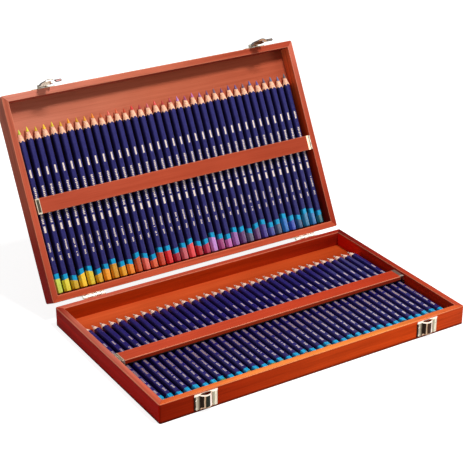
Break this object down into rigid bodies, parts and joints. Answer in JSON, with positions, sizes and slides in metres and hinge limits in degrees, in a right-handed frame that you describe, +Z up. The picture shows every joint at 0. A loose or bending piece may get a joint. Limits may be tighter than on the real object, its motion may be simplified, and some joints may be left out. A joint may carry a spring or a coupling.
{
  "type": "hinged pencil case",
  "caption": "Hinged wooden case whose base and lid each hold a row of coloured pencils under a hinged retaining bar, shut by arched hasps.",
  "frame": {"origin": "middle of the base tray's footprint, on the surface that the case stands on", "axes": "+X along the hinge line, to the right for someone facing the latches; +Y from the latches to the hinges; +Z up. The lid stands open at its stop."},
  "size_m": [0.36, 0.3486, 0.2324],
  "materials": {
    "stained_wood": "red-brown stain under satin varnish",
    "panel_wood": "red-brown stain under satin varnish",
    "rack_wood": "dark red-brown stain, matte",
    "lacquered_pencil": "dark blue gloss lacquer, bare cedar at the sharpened end",
    "coloured_lead": "pigmented wax in many colours",
    "dark_foam": "dark foam strip",
    "plated_metal": "nickel plated pressed sheet",
    "pin_metal": "bright wire",
    "fastener_metal": "nickel plated"
  },
  "bodies": {
    "base_tray": {"base_back_board": "stained_wood", "base_bar_hinge_pin": "pin_metal", "base_bar_hinge_wall_leaf": "plated_metal", "base_bar_hinge_wall_screws": "fastener_metal", "base_bar_strike": "plated_metal", "base_bar_strike_screws": "fastener_metal", "base_catch_left": "plated_metal", "base_catch_nails": "fastener_metal", "base_catch_right": "plated_metal", "base_floor_panel": "panel_wood", "base_front_board": "stained_wood", "base_left_board": "stained_wood", "base_pencil_casings": "lacquered_pencil", "base_pencil_leads": "coloured_lead", "base_pencil_rack": "rack_wood", "base_right_board": "stained_wood", "hinge_base_screws": "fastener_metal", "hinge_left_base_leaf": "plated_metal", "hinge_left_pin": "pin_metal", "hinge_right_base_leaf": "plated_metal", "hinge_right_pin": "pin_metal"},
    "lid_tray": {"hasp_left_pin": "pin_metal", "hasp_right_pin": "pin_metal", "hinge_left_lid_leaf": "plated_metal", "hinge_lid_screws": "fastener_metal", "hinge_right_lid_leaf": "plated_metal", "lid_back_board": "stained_wood", "lid_bar_hinge_pin": "pin_metal", "lid_bar_hinge_wall_leaf": "plated_metal", "lid_bar_hinge_wall_screws": "fastener_metal", "lid_bar_strike": "plated_metal", "lid_bar_strike_screws": "fastener_metal", "lid_front_board": "stained_wood", "lid_latch_nails": "fastener_metal", "lid_latch_plate_left": "plated_metal", "lid_latch_plate_right": "plated_metal", "lid_left_board": "stained_wood", "lid_panel": "panel_wood", "lid_pencil_casings": "lacquered_pencil", "lid_pencil_leads": "coloured_lead", "lid_pencil_rack": "rack_wood", "lid_right_board": "stained_wood"},
    "base_retaining_bar": {"base_bar": "stained_wood", "base_bar_hinge_bar_leaf": "plated_metal", "base_bar_hinge_bar_screws": "fastener_metal", "base_bar_pad": "dark_foam", "base_bar_tongue": "plated_metal", "base_bar_tongue_screws": "fastener_metal"},
    "lid_retaining_bar": {"lid_bar": "stained_wood", "lid_bar_hinge_bar_leaf": "plated_metal", "lid_bar_hinge_bar_screws": "fastener_metal", "lid_bar_pad": "dark_foam", "lid_bar_tongue": "plated_metal", "lid_bar_tongue_screws": "fastener_metal"},
    "hasp_left": {"hasp_left": "plated_metal"},
    "hasp_right": {"hasp_right": "plated_metal"}
  },
  "joints": [
    {"name": "lid_hinge", "type": "hinge", "parent": "base_tray", "child": "lid_tray", "pos_m": [0, 0.1126, 0.0211], "axis": [-1, 0, 0], "range_deg": [-117.4, 0]},
    {"name": "base_bar_hinge", "type": "hinge", "parent": "base_tray", "child": "base_retaining_bar", "pos_m": [0.1697, -0.013, 0.0174], "axis": [0, 1, 0], "range_deg": [0, 95]},
    {"name": "lid_bar_hinge", "type": "hinge", "parent": "lid_tray", "child": "lid_retaining_bar", "pos_m": [-0.1697, 0.16356, 0.11137], "axis": [0, -0.4602, -0.8878], "range_deg": [0, 95]},
    {"name": "hasp_left_hinge", "type": "hinge", "parent": "lid_tray", "child": "hasp_left", "pos_m": [-0.131, 0.22006, 0.2195], "axis": [-1, 0, 0], "range_deg": [0, 130]},
    {"name": "hasp_right_hinge", "type": "hinge", "parent": "lid_tray", "child": "hasp_right", "pos_m": [0.131, 0.22006, 0.2195], "axis": [-1, 0, 0], "range_deg": [0, 130]}
  ]
}
